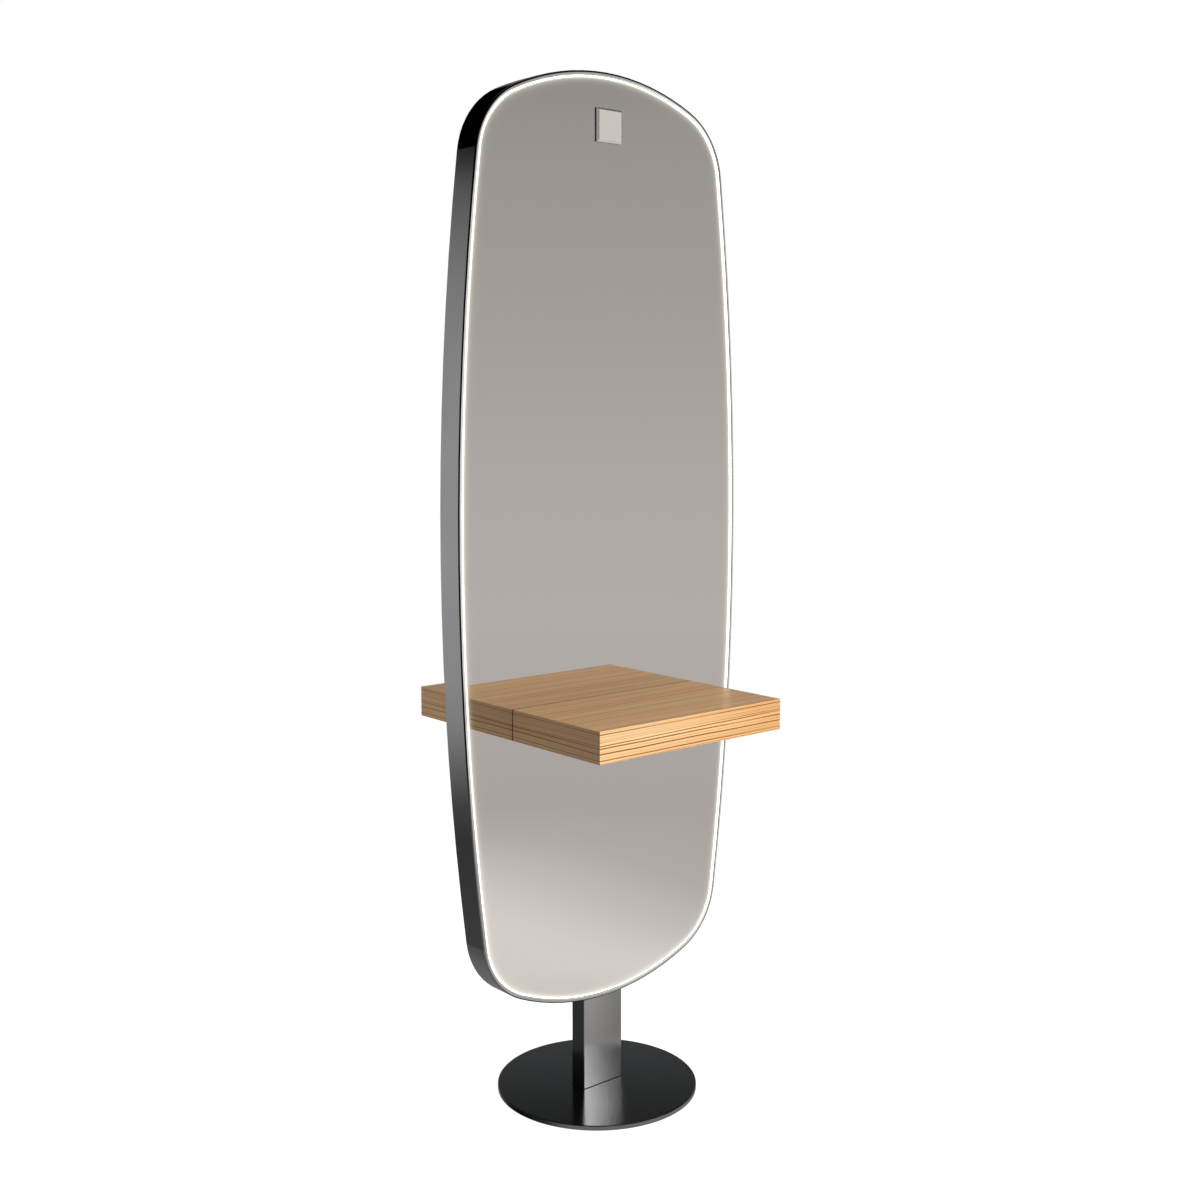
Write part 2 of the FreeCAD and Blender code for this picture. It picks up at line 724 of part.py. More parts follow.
def button_barrel(label, turn):
    floor = -(s.button_sunk + s.button_travel + s.button_rim)
    button_piece(label, turn, (
        (0, -s.button_length), (button_thread, -s.button_length), (button_thread, 0), (button_edge, 0),
        (button_edge, s.button_rim), (button_bore, s.button_rim), (button_bore, floor), (0, floor),
    ))


def button_nut(label, turn):
    bore = button_thread + s.fit_gap / 2
    end = -(hoop_inside + s.nut_thickness)
    button_piece(label, turn, (
        (bore, -hoop_inside), (bore, end), (button_edge, end), (button_edge, -hoop_inside),
    ))


def button_cap(label, turn):
    edge = s.button_cap / 2
    top = s.button_rim + s.button_proud
    button_piece(label, turn, ((0, -s.button_sunk), (edge, -s.button_sunk), (edge, top), (0, top)))


# Lights' supply


def led_driver(label, turn):
    """A sealed driver on the post's side, with a fixing tab above and below."""
    body = new_body(label, turn)
    half_wide = s.driver_width / 2
    sketch = new_sketch(body, "YZ_Plane", out=post_side)
    rectangle(sketch, -half_wide, half_wide, driver_bottom, driver_top)
    pad(body, sketch, s.driver_reach)
    sketch = new_sketch(body, "YZ_Plane", out=post_side)
    rectangle(sketch, -half_wide, half_wide, driver_bottom - s.driver_tab, driver_top + s.driver_tab)
    for height in tab_screw_heights:
        circle(sketch, 0, height, s.tab_screw / 2 + s.fit_gap)
    pad(body, sketch, s.tab_thickness)


def driver_screws(label, turn):
    body = new_body(label, turn)
    shank = (s.tab_screw / 2, s.tab_screw_length, True)
    head = (s.tab_screw_head / 2, s.tab_thickness, False)
    for radius, length, inwards in (shank, head):
        sketch = new_sketch(body, "YZ_Plane", out=post_side + s.tab_thickness)
        for height in tab_screw_heights:
            circle(sketch, 0, height, radius)
        pad(body, sketch, length, back=inwards)


def terminal_block():
    body = new_body("terminal_block")
    sketch = new_sketch(body, "XY_Plane", out=block_bottom)
    rectangle(sketch, post_side, post_side + s.block_width, -(s.block_depth / 2), s.block_depth / 2)
    pad(body, sketch, s.block_height)


def lead(label, turn, points):
    """A wire along points: straight runs joined by the largest tangent arcs that fit."""
    edges = []
    start = points[0]
    for before, corner, after in zip(points, points[1:], points[2:]):
        into = (corner - before).normalize()
        away = (after - corner).normalize()
        half = into.getAngle(away) / 2
        cut = largest_bend * min((corner - before).Length, (after - corner).Length)
        radius = cut / math.tan(half)
        arc_start = corner - into * cut
        arc_end = corner + away * cut
        arc_middle = corner + (away - into).normalize() * (radius / math.cos(half) - radius)
        edges.append(Part.LineSegment(start, arc_start).toShape())
        edges.append(Part.Arc(arc_start, arc_middle, arc_end).toShape())
        start = arc_end
        print(f"{label} bends at radius {radius:.1f}")
    edges.append(Part.LineSegment(start, points[-1]).toShape())
    section = Part.Circle(points[0], points[1] - points[0], s.lead_diameter.value / 2)
    wire = doc.addObject("Part::Feature", label)
    wire.Label = label
    wire.Shape = Part.Wire(edges).makePipeShell([Part.Wire(section.toShape())], True, False)
    wire.Placement = turn
    parts.append(wire)


def led_lead(label, turn):
    height = feed_height.value
    start = FreeCAD.Vector(driver_face.value, 0, height)
    corner = FreeCAD.Vector(strip_feed(), 0, height)
    lead(label, turn, (start, corner, FreeCAD.Vector(corner.x, -panel_back.value, height)))


def button_lead(label, turn):
    """Out of the barrel along its axis, then level into the driver's face."""
    place = button_place()
    start = place.multVec(FreeCAD.Vector(0, 0, -s.button_length.value))
    inwards = place.Rotation.multVec(FreeCAD.Vector(0, 0, -1))
    corner = start + inwards * ((driver_middle.value - start.z) / inwards.z)
    lead(label, turn, (start, corner, FreeCAD.Vector(driver_face.value, 0, corner.z)))


def supply_leads():
    """From the terminal block down to the front driver, and through the post to the rear one."""
    inner = FreeCAD.Vector(post_side.value, 0, lead_height.value)
    bottom = FreeCAD.Vector(supply_place.value, 0, block_bottom.value)
    entry = FreeCAD.Vector(supply_place.value, 0, driver_top.value)
    far_corner = FreeCAD.Vector(-supply_place.value, 0, lead_height.value)
    far_entry = FreeCAD.Vector(-supply_place.value, 0, driver_top.value)
    lead("front_supply_lead", no_turn, (bottom, entry))
    lead("rear_supply_lead", no_turn, (inner, far_corner, far_entry))


base_plate()
base_screws()
base_cover()
post_foot_block()
cable_grommet()
post()
post_cap()
frame_hoop()
crossbar("lower_crossbar", lower_bar)
shelf_crossbar()
crossbar("upper_crossbar", upper_bar)
shelf_rod("shelf_rod_left", -1)
shelf_rod("shelf_rod_right", 1)
for name, turn in (("front", no_turn), ("rear", half_turn)):
    sheet_piece(f"{name}_backing_panel", turn, panel_back, s.panel_thickness)
    sheet_piece(f"{name}_mirror", turn, glass_back, s.glass_thickness)
    led_channel(f"{name}_led_channel", turn)
    led_strip(f"{name}_led_strip", turn)
    diffuser(f"{name}_diffuser", turn)
    cleats(f"{name}_lower_cleats", turn, lower_bar)
    cleats(f"{name}_upper_cleats", turn, upper_bar)
    plaque(f"{name}_plaque", turn)
    shelf_shell(f"{name}_shelf_shell", turn)
    shelf_back_rail(f"{name}_shelf_back_rail", turn)
    shelf_core(f"{name}_shelf_core", turn)
    shelf_grub_screws(f"{name}_shelf_grub_screws", turn)
    button_barrel(f"{name}_button_barrel", turn)
    button_nut(f"{name}_button_nut", turn)
    button_cap(f"{name}_button_cap", turn)
    led_driver(f"{name}_led_driver", turn)
    driver_screws(f"{name}_driver_screws", turn)
    led_lead(f"{name}_led_lead", turn)
    button_lead(f"{name}_button_lead", turn)
terminal_block()
supply_leads()

doc.recompute()
failed = [thing.Label for thing in doc.Objects if "Invalid" in thing.State or "Error" in thing.State]
if failed:
    raise RuntimeError(f"failed: {failed}")
for part in parts:
    if part.Shape.isNull() or not part.Shape.isValid():
        raise RuntimeError(f"{part.Label} has no valid shape")

os.makedirs("parts", exist_ok=True)
for part in parts:
    part.Shape.exportStep(f"parts/{part.Label}.step")
    print(part.Label, len(part.Shape.Solids), round(part.Shape.Volume))
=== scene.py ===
import json
import math

import bmesh
import bpy
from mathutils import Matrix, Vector


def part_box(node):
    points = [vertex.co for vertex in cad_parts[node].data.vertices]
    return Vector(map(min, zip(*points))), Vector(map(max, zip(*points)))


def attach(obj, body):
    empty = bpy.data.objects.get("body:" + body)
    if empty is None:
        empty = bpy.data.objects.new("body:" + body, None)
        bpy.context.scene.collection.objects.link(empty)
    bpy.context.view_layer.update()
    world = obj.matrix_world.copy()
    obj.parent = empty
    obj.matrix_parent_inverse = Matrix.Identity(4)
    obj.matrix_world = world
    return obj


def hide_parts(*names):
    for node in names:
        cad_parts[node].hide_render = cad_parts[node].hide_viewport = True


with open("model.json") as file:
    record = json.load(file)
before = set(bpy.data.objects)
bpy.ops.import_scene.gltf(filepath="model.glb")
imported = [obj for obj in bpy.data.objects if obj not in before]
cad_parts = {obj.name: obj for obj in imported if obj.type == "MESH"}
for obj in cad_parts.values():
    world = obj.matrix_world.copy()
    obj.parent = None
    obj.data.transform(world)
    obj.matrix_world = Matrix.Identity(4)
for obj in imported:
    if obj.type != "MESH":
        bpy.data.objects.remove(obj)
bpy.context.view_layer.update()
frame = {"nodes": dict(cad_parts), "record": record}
nodes = frame["nodes"]
scene = bpy.context.scene
scene.view_settings.view_transform = "Standard"
print("frame loaded with", len(nodes), "nodes")


class Wire:  # a shader socket that takes part in Python maths
    def __init__(self, shader, socket):
        self.shader = shader
        self.socket = socket

    def out(self, name):  # another output of the same node
        return Wire(self.shader, self.socket.node.outputs[name])

    def maths(self, operation, *terms):
        return self.shader.node("ShaderNodeMath", {"operation": operation}, dict(enumerate(terms)))

    def __add__(self, other):
        return self.maths("ADD", self, other)

    def __radd__(self, other):
        return self.maths("ADD", other, self)

    def __sub__(self, other):
        return self.maths("SUBTRACT", self, other)

    def __rsub__(self, other):
        return self.maths("SUBTRACT", other, self)

    def __mul__(self, other):
        return self.maths("MULTIPLY", self, other)

    def __rmul__(self, other):
        return self.maths("MULTIPLY", other, self)

    def __truediv__(self, other):
        return self.maths("DIVIDE", self, other)

    def __rtruediv__(self, other):
        return self.maths("DIVIDE", other, self)

    def __abs__(self):
        return self.maths("ABSOLUTE", self)

    def root(self):
        return self.maths("SQRT", self)

    def most(self, other):
        return self.maths("MAXIMUM", self, other)

    def rising(self, low, high):  # 0 below low, 1 above high, smooth between
        settings = {"interpolation_type": "SMOOTHSTEP"}
        return self.shader.node("ShaderNodeMapRange", settings, {0: self, 1: low, 2: high})


class Shader:  # the node tree of a material or of the world
    def __init__(self, owner):
        owner.use_nodes = True
        self.owner = owner
        self.tree = owner.node_tree
        self.tree.nodes.clear()

    def node(self, kind, settings=None, inputs=None, out=0):
        made = self.tree.nodes.new(kind)
        for name, value in (settings or {}).items():
            if name == "stops":
                self.setStops(made.color_ramp, value)
            else:
                setattr(made, name, value)
        for name, value in (inputs or {}).items():
            if isinstance(value, Wire):
                self.tree.links.new(value.socket, made.inputs[name])
            else:
                made.inputs[name].default_value = value
        return Wire(self, made.outputs[out]) if made.outputs else None

    def setStops(self, ramp, stops):
        ramp.interpolation = stops["blend"]
        while len(ramp.elements) < len(stops["at"]):
            ramp.elements.new(1.0)
        for element, (place, colour) in zip(ramp.elements, stops["at"]):
            element.position = place
            element.color = (*colour, 1.0)

    def blend(self, amount, first, second):  # two colours
        settings = {"data_type": "RGBA"}
        return self.node("ShaderNodeMix", settings, {0: amount, 6: first, 7: second}, 2)

    def noise(self, vector, scale, detail=2.0, roughness=0.5):
        inputs = {"Vector": vector, "Scale": scale, "Detail": detail, "Roughness": roughness}
        return self.node("ShaderNodeTexNoise", None, inputs)

    def place(self):  # the piece's own coordinates, in metres
        return self.node("ShaderNodeTexCoord", None, None, "Object")

    def geometry(self, name):  # a place or direction of the surface
        return self.node("ShaderNodeNewGeometry", None, None, name)

    def axes(self, vector):  # its three parts
        split = self.node("ShaderNodeSeparateXYZ", None, {0: vector})
        return [split.out(i) for i in range(3)]

    def facing(self):  # how far a face looks along each axis, either way
        return [abs(part) for part in self.axes(self.geometry("True Normal"))]

    def vectorMaths(self, operation, *terms, out=0):
        settings = {"operation": operation}
        return self.node("ShaderNodeVectorMath", settings, dict(enumerate(terms)), out)

    def stretch(self, vector, factors):
        return self.vectorMaths("MULTIPLY", vector, factors)

    def bump(self, height, strength, distance):
        inputs = {"Strength": strength, "Distance": distance, "Height": height}
        return self.node("ShaderNodeBump", None, inputs)

    def surface(self, shader):
        self.node("ShaderNodeOutputMaterial", None, {"Surface": shader})
        return self.owner

    def principled(self, **inputs):
        return self.surface(self.node("ShaderNodeBsdfPrincipled", None, {
            name.replace("_", " "): value for name, value in inputs.items()
        }))


def newShader(name):
    return Shader(bpy.data.materials.new(name))


def grey(level):
    return (level, level, level, 1.0)


def tone(red, green, blue):
    return (red, green, blue, 1.0)


# the frame's outline

hoop = {
    "width": 0.7, "height": 1.8, "depth": 0.06, "clearance": 0.2,
    "sideRadius": 5.77, "crownRadius": 0.518, "cornerRadius": 0.15,
    "sideSteps": 48, "cornerSteps": 24, "crownSteps": 40,
    "joinTurn": 0.002,  # angle over which one arc's shader distance gives way to the next
}
hoopMiddle = hoop["clearance"] + hoop["height"] / 2


def outlineArcs():  # a quarter of it: centre, radius, first and last angle, steps
    side = hoop["width"] / 2 - hoop["sideRadius"]
    crown = hoop["height"] / 2 - hoop["crownRadius"]
    fromSide = hoop["sideRadius"] - hoop["cornerRadius"]
    fromCrown = hoop["crownRadius"] - hoop["cornerRadius"]
    apart = math.hypot(side, crown)
    run = (fromSide**2 - fromCrown**2 + apart**2) / (2 * apart)
    rise = math.sqrt(fromSide**2 - run**2)
    x = side + (-side * run - crown * rise) / apart
    z = (crown * run - side * rise) / apart
    low = math.atan2(z, x - side)
    high = math.atan2(z - crown, x)
    return (
        (side, 0.0, hoop["sideRadius"], 0.0, low, hoop["sideSteps"] // 2),
        (x, z, hoop["cornerRadius"], low, high, hoop["cornerSteps"]),
        (0.0, crown, hoop["crownRadius"], high, math.pi / 2, hoop["crownSteps"] // 2),
    )


def outlineStations():  # centre, radius and direction of each point round the outline
    corner = []
    for centreX, centreZ, radius, first, last, steps in outlineArcs():
        for i in range(steps):
            angle = first + (last - first) * i / steps
            corner.append((centreX, centreZ, radius, math.cos(angle), math.sin(angle)))
    topPoint = (0.0, hoop["height"] / 2 - hoop["crownRadius"], hoop["crownRadius"], 0.0, 1.0)
    right = corner + [topPoint]
    left = [(-a, b, r, -c, d) for a, b, r, c, d in reversed(corner)]
    upper = right + left
    lower = [(a, -b, r, c, -d) for a, b, r, c, d in reversed(upper[1:-1])]
    return upper + lower


def insetFromEdge(x, z):  # shader distance in from the outline
    x, z = abs(x), abs(z - hoopMiddle)
    insets = []
    for centreX, centreZ, radius, *_ in outlineArcs():
        a, b = x - centreX, z - centreZ
        insets.append(radius - (a * a + b * b).root())
    cornerX, cornerZ, _, low, high, _ = outlineArcs()[1]
    turn = x.maths("ARCTAN2", z - cornerZ, x - cornerX)
    side, corner, crown = insets
    inset = side + (corner - side) * turn.rising(low, low + hoop["joinTurn"])
    return inset + (crown - corner) * turn.rising(high - hoop["joinTurn"], high)


# finishes

polish = {  # smoked plating of the frame, the post and the base cover
    "frameLight": tone(0.52, 0.52, 0.525), "frameDark": tone(0.46, 0.46, 0.467), "frameGloss": 0.05,
    "baseLight": tone(0.5, 0.525, 0.545), "baseDark": tone(0.445, 0.467, 0.485), "baseGloss": 0.165,
    "cloudScale": 7.0, "cloudSpan": (0.4, 0.75),
    "wipeScale": (60.0, 60.0, 9.0), "wipeSpan": (0.35, 0.8), "smear": 0.05,
    "black": grey(0.015), "contactShadeHaze": 0.25,  # painted shade and painted contact shade lines of the post and the disc
}


def polishedCoat(shader, light, dark, gloss):  # colour and roughness
    place = shader.place()
    cloud = shader.noise(place, polish["cloudScale"], detail=3.0)
    wipe = shader.noise(shader.stretch(place, polish["wipeScale"]), 1.0, detail=4.0, roughness=0.6)
    smear = cloud.rising(*polish["cloudSpan"]) * wipe.rising(*polish["wipeSpan"])
    return shader.blend(cloud, light, dark), gloss + smear * polish["smear"]


frameLook = {
    "edge": grey(0.09), "edgeShare": 0.85, "crownShare": 0.95,  # painted shade on the rounding, wider along the crown
    "line": grey(0.012), "lowPale": 0.6,  # painted shade, blacker on the viewer's left, but not low down
    # painted highlight and painted glow of the lit ring's light on the lip; the lip's lighter colour is
    # partly its own polish
    "lip": grey(0.86), "paintedGlow": tone(0.32, 0.31, 0.29), "lipHaze": 0.12,
    # painted shade: darker lip and weaker painted glow on the crown
    "crownLip": grey(0.52), "crownPaintedGlow": tone(0.22, 0.213, 0.2),
    "footLip": grey(0.4), "footPaintedGlow": tone(0.12, 0.119, 0.114), "lowDim": 0.95,  # painted shade: darker lip and weaker painted glow along the bottom
    "footShadeColour": grey(0.03), "footShade": 0.82,  # painted shade: darker plating near the floor
    "wallPaintedGlow": tone(0.62, 0.61, 0.58),  # painted glow of the lit ring's light on the lip's inner wall beside the ring
    "rightLipShadeColour": grey(0.2),  # painted shade on the inner part of the lip on the viewer's right
}
frameZones = {  # where each mask begins and ends to rise
    "lip": (0.985, 0.998), "edge": (0.08, 0.3),  # how far a face looks forward
    "foot": (0.22, 0.42), "low": (0.5, 0.78), "line": (0.52, 0.72), "crown": (1.74, 1.9),  # heights
    "crownInset": (0.0038, 0.0043), "rightLipShade": (0.0042, 0.0048),  # in from the outline
    "sides": (0.2, 0.32), "left": (0.18, 0.26), "right": (0.24, 0.3),  # from the middle
    "wall": (-0.1, -0.02),  # how far a face looks outward, times its distance
}


def frameMetal():  # dark side; painted shade on the rounded edge, on the viewer's left and near the floor; lip with painted highlight and painted glow beside the lit ring
    look, zones = frameLook, frameZones
    shader = newShader("polished frame")
    colour, roughness = polishedCoat(shader, polish["frameLight"], polish["frameDark"], polish["frameGloss"])
    place = shader.place()
    x, y, z = shader.axes(place)
    forward = shader.facing()[1]
    inset = insetFromEdge(x, z)
    sides = abs(x).rising(*zones["sides"])
    foot = 1.0 - z.rising(*zones["foot"])
    crown = z.rising(*zones["crown"]) * (1.0 - inset.rising(*zones["crownInset"]))
    lip = forward.rising(*zones["lip"])
    edge = forward.rising(*zones["edge"]) * (1.0 - lip)
    lip = lip * (1.0 - crown)
    halfDepth = hoop["depth"] / 2
    left = (x * y * (1.0 / halfDepth)).rising(*zones["left"])  # from the front or from behind
    line = left * z.rising(*zones["line"])
    low = left * (1.0 - z.rising(*zones["low"]))
    dim = foot.most(low * look["lowDim"])
    # painted shade on the lip's inner part, on the viewer's right
    rightLipShade = (x * y * (-1.0 / halfDepth)).rising(*zones["right"])
    rightLipShade = rightLipShade * inset.rising(*zones["rightLipShade"]) * lip
    outward = shader.vectorMaths("SUBTRACT", place, (0.0, 0.0, hoopMiddle))
    outward = shader.vectorMaths("DOT_PRODUCT", outward, shader.geometry("True Normal"), out="Value")
    wall = 1.0 - outward.rising(*zones["wall"])
    # painted shade: dark rounding, and a black line on the viewer's left
    share = look["edgeShare"] + line * (1.0 - look["edgeShare"]) - low * look["lowPale"]
    dark = (edge * share).most(crown * forward * look["crownShare"])
    # painted shade near the floor
    colour = shader.blend(foot * look["footShade"], colour, look["footShadeColour"])
    colour = shader.blend(dark, colour, shader.blend(line, look["edge"], look["line"]))
    # painted glow of the lit ring's light on the lip and its inner wall
    paintedGlow = shader.blend(sides, look["crownPaintedGlow"], look["paintedGlow"])
    paintedGlow = shader.blend(dim, paintedGlow, look["footPaintedGlow"])
    paintedGlow = shader.blend(rightLipShade, paintedGlow, grey(0.0))
    paintedGlow = shader.blend(lip, grey(0.0), paintedGlow)
    # lip lighter, partly as painted highlight; darker on the crown and low down, as painted shade
    lipColour = shader.blend(sides, look["crownLip"], look["lip"])
    colour = shader.blend(lip, colour, shader.blend(dim, lipColour, look["footLip"]))
    return shader.principled(
        Base_Color=shader.blend(rightLipShade, colour, look["rightLipShadeColour"]),
        Metallic=1.0,
        Roughness=roughness + lip * look["lipHaze"],
        Emission_Color=shader.blend(wall, paintedGlow, look["wallPaintedGlow"]),
        Emission_Strength=1.0,
    )


def baseMetal(name, dress):  # post and base cover; dress adds painted shade and painted contact shade lines
    shader = newShader(name)
    colour, roughness = polishedCoat(shader, polish["baseLight"], polish["baseDark"], polish["baseGloss"])
    colour, contactShade = dress(shader, colour)
    return shader.principled(
        Base_Color=shader.blend(contactShade, colour, polish["black"]),
        Metallic=1.0,
        Roughness=roughness + contactShade * polish["contactShadeHaze"],
    )


postLook = {
    "side": tone(0.26, 0.27, 0.28), "sideFacing": (0.6, 0.9),  # painted shade on the narrow faces
    "rightShade": 0.32, "right": (-0.9, 1.0), "rightRise": (0.065, 0.115),  # painted shade on the right of the broad faces, above the foot
    # painted contact shade lines at the foot and under the frame
    "footLine": (0.0006, 0.0018), "topLine": 0.004,
}


def dressPost(shader, colour):  # painted shade: darker narrow faces, shaded right half, dark contact lines at both ends
    look = postLook
    halfX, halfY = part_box("post")[1][:2]
    low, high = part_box("base_cover")[1][2], hoop["clearance"]
    x, y, z = shader.axes(shader.place())
    right = (x * y * (-1.0 / (halfX * halfY))).rising(*look["right"]) * z.rising(*look["rightRise"])
    colour = shader.blend(right * look["rightShade"], colour, polish["black"])
    colour = shader.blend(shader.facing()[0].rising(*look["sideFacing"]), colour, look["side"])
    start, stop = look["footLine"]
    return colour, 1.0 - z.rising(low + start, low + stop) + z.rising(high - look["topLine"], high)


discLook = {
    "rim": 0.35, "rimRear": (-0.15, 0.01), "rimFacing": (0.1, 0.3),  # painted shade on the rim, full at the rear
    "arrisLow": (0.12, 0.3), "arrisHigh": (0.93, 0.99),  # painted shade on the rounding above the rim
    # painted contact shade round the post
    "postLine": (0.0008, 0.0024),
}


def dressDisc(shader, colour):  # painted shade on the rim and the rounding, painted contact shade round the post
    look = discLook
    halfX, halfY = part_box("post")[1][:2]
    x, y, _ = shader.axes(shader.place())
    up = shader.facing()[2]
    rim = look["rim"] + y.rising(*look["rimRear"]) * (1.0 - look["rim"])
    rim = rim * (1.0 - up.rising(*look["rimFacing"]))
    arris = up.rising(*look["arrisLow"]) * (1.0 - up.rising(*look["arrisHigh"]))
    colour = shader.blend(rim.most(arris), colour, polish["black"])
    return colour, 1.0 - (abs(x) - halfX).most(abs(y) - halfY).rising(*look["postLine"])


veneerLook = {
    "light": tone(0.97, 0.645, 0.335),
    "middle": tone(0.78, 0.425, 0.178),
    "line": tone(0.3, 0.125, 0.028),
    # edge: colour of the painted contact shade along the back edge
    "edge": tone(0.17, 0.085, 0.04),
    "endTint": tone(1.0, 0.74, 0.58), "endShare": 0.25,  # cooler ends
    "topTint": tone(0.6, 0.2, 0.09), "topShare": 0.11,  # warmer top
    "roughness": 0.44, "topGloss": 0.12, "poreHaze": 0.18, "paleGloss": 0.06, "specular": 0.16,
    "bump": 0.25, "bumpDepth": 0.0004, "bumpStreaks": 0.4, "bumpPores": 0.5, "bumpStripes": 0.4,
    "bandShare": 0.45, "streakShare": 0.4, "fibreShare": 0.3, "paleShift": 0.08,  # make up the paleness
    "leftLight": 2.4, "frontShade": 0.05,  # painted light, paler towards the viewer's left; painted shade, upright faces darker than the top
    "ridgeShare": 0.06, "boldShare": 0.22, "topRidges": 1.1,  # thin lines, stronger on the top
    "stripeLeast": 0.5, "stripeGain": 0.6, "streakLeast": 0.9, "streakGain": 0.4,
    "stripeEdge": (0.35, 1.25),  # of a stripe's half width
    "endFade": 0.5,  # stripes are weaker on the ends
    "poreShade": 0.22,
    "bandSpan": (0.3, 0.7), "streakSpan": (0.28, 0.72), "poreSpan": (0.6, 0.75),
    "ridgeSpan": (0.014, 0.07), "boldSpan": (0.34, 0.56), "fadeSpan": (0.25, 0.6),
    "topSeed": 3.0, "grainRoughness": 0.55,
    "bands": (0.8, 38.0, 1.7, 2.0),  # grain: per metre along and across, seed, detail
    "streaks": (2.2, 240.0, 7.3, 3.0),
    "fibres": (26.0, 1100.0, 4.1, 2.0),
    "ridges": (0.55, 175.0, 11.9, 0.0),
    "boldness": (0.9, 87.5, 15.2, 1.0),
    "sway": (3.2, 14.0, 21.3, 2.0),
    "fading": (4.5, 60.0, 27.7, 1.0),
    "corner": (0.69, 0.72),  # how far a face looks up or sideways
    "endX": 0.23, "endY": 0.28,  # corner that the stripes turn round
    "contactShade": 0.0285, "contactShadeBlur": 0.0003,  # painted contact shade along the back edge, from the middle plane
    "bottom": 0.758, "wobble": 0.0045,  # height of the shelf's bottom, how far the stripes sway
    "stripes": (  # millimetres above the shelf's bottom, drift along the shelf, half width, strength
        (57.6, 0.5, 0.8, 0.3), (54.5, 1.4, 1.25, 1.0), (46.8, 1.4, 0.8, 0.26), (43.4, 2.2, 0.9, 0.3),
        (40.6, 1.0, 1.0, 0.66), (35.9, 4.6, 1.2, 0.84), (29.6, 0.6, 1.35, 1.0), (24.2, 1.6, 0.8, 0.3),
        (19.2, -1.0, 1.45, 1.15), (12.4, -0.4, 0.8, 0.28), (6.6, -1.1, 1.2, 0.9), (1.8, 0.0, 0.9, 0.36),
    ),
}


def veneer():  # striped wood that runs along the shelf and round its ends
    look = veneerLook
    shader = newShader("striped veneer")
    x, y, z = shader.axes(shader.place())
    across, _, up = shader.facing()
    flat = up.rising(*look["corner"])
    ends = across.rising(*look["corner"])
    turned = x * (1.0 + (look["endY"] - abs(y)) / look["endX"])
    along = x + (turned - x) * ends
    depth = z + (y - z) * flat
    upright = 1.0 - flat

    def grain(layer):
        perLength, perWidth, seed, detail = look[layer]
        vector = {0: along * perLength, 1: depth * perWidth, 2: flat * look["topSeed"] + seed}
        vector = shader.node("ShaderNodeCombineXYZ", None, vector)
        return shader.noise(vector, 1.0, detail, look["grainRoughness"])

    bands, streaks, fibres = grain("bands"), grain("streaks"), grain("fibres")
    pore = fibres.rising(*look["poreSpan"])
    ridge = 1.0 - abs(grain("ridges") - 0.5).rising(*look["ridgeSpan"])
    bold = grain("boldness").rising(*look["boldSpan"])
    paleness = bands.rising(*look["bandSpan"]) * look["bandShare"]
    paleness = paleness + streaks.rising(*look["streakSpan"]) * look["streakShare"]
    paleness = paleness + fibres * look["fibreShare"] - look["paleShift"]
    # painted light towards the viewer's left, painted shade on upright faces
    paleness = paleness - along * upright * (1.0 - ends) * look["leftLight"] - look["frontShade"] * upright
    level = (z - look["bottom"] + (grain("sway") - 0.5) * look["wobble"]) * 1000.0  # millimetres
    fade = look["stripeLeast"] + grain("fading").rising(*look["fadeSpan"]) * look["stripeGain"]
    fade = fade * (look["streakLeast"] + streaks * look["streakGain"])
    core, reach = look["stripeEdge"]
    drawn = 0.0
    for rise, drift, width, strength in look["stripes"]:
        gap = abs(level - along * (drift / (2 * look["endX"])) - rise)
        drawn = (1.0 - gap.rising(width * core, width * reach)) * strength + drawn
    drawn = drawn * upright * (1.0 - ends * look["endFade"]) * fade
    ridge = ridge * (look["ridgeShare"] + bold * look["boldShare"])
    stripe = ridge * (1.0 + flat * look["topRidges"]) + drawn
    # painted contact shade along the back edge, where the shelf meets the mirror
    contactShade = 1.0 - abs(y).rising(look["contactShade"] - look["contactShadeBlur"], look["contactShade"] + look["contactShadeBlur"])
    colour = shader.blend(paleness, look["middle"], look["light"])
    colour = shader.blend(ends * look["endShare"], colour, look["endTint"])
    colour = shader.blend(flat * look["topShare"], colour, look["topTint"])
    colour = shader.blend(stripe, colour, look["line"])
    colour = shader.blend(pore * look["poreShade"], colour, look["line"])
    colour = shader.blend(contactShade, colour, look["edge"])
    roughness = look["roughness"] - flat * look["topGloss"]
    height = streaks * look["bumpStreaks"] - pore * look["bumpPores"] - stripe * look["bumpStripes"]
    return shader.principled(
        Base_Color=colour,
        Roughness=roughness + pore * look["poreHaze"] - paleness * look["paleGloss"],
        Specular_IOR_Level=look["specular"],
        Normal=shader.bump(height, look["bump"], look["bumpDepth"]),
    )


glassLook = {
    # glow: painted glow of the lit ring's light on the glass
    "silver": grey(0.925), "glow": tone(0.3, 0.292, 0.21),
    "gloss": 0.004, "haze": 0.006, "hazeScale": 3.0, "frost": 0.12,  # frost along the lit edge
}


def mirrorGlass():  # silvered glass with a painted glow of the lit ring's light along its edge
    look = glassLook
    shader = newShader("silvered glass")
    glow = shader.node("ShaderNodeAttribute", {"attribute_name": "edgeGlow"}, None, "Fac")
    haze = shader.noise(shader.place(), look["hazeScale"])
    return shader.principled(
        Base_Color=look["silver"],
        Metallic=1.0,
        Roughness=look["gloss"] + haze * look["haze"] + glow * look["frost"],
        # painted glow along the lit edge
        Emission_Color=shader.blend(glow, grey(0.0), look["glow"]),
        Emission_Strength=1.0,
    )


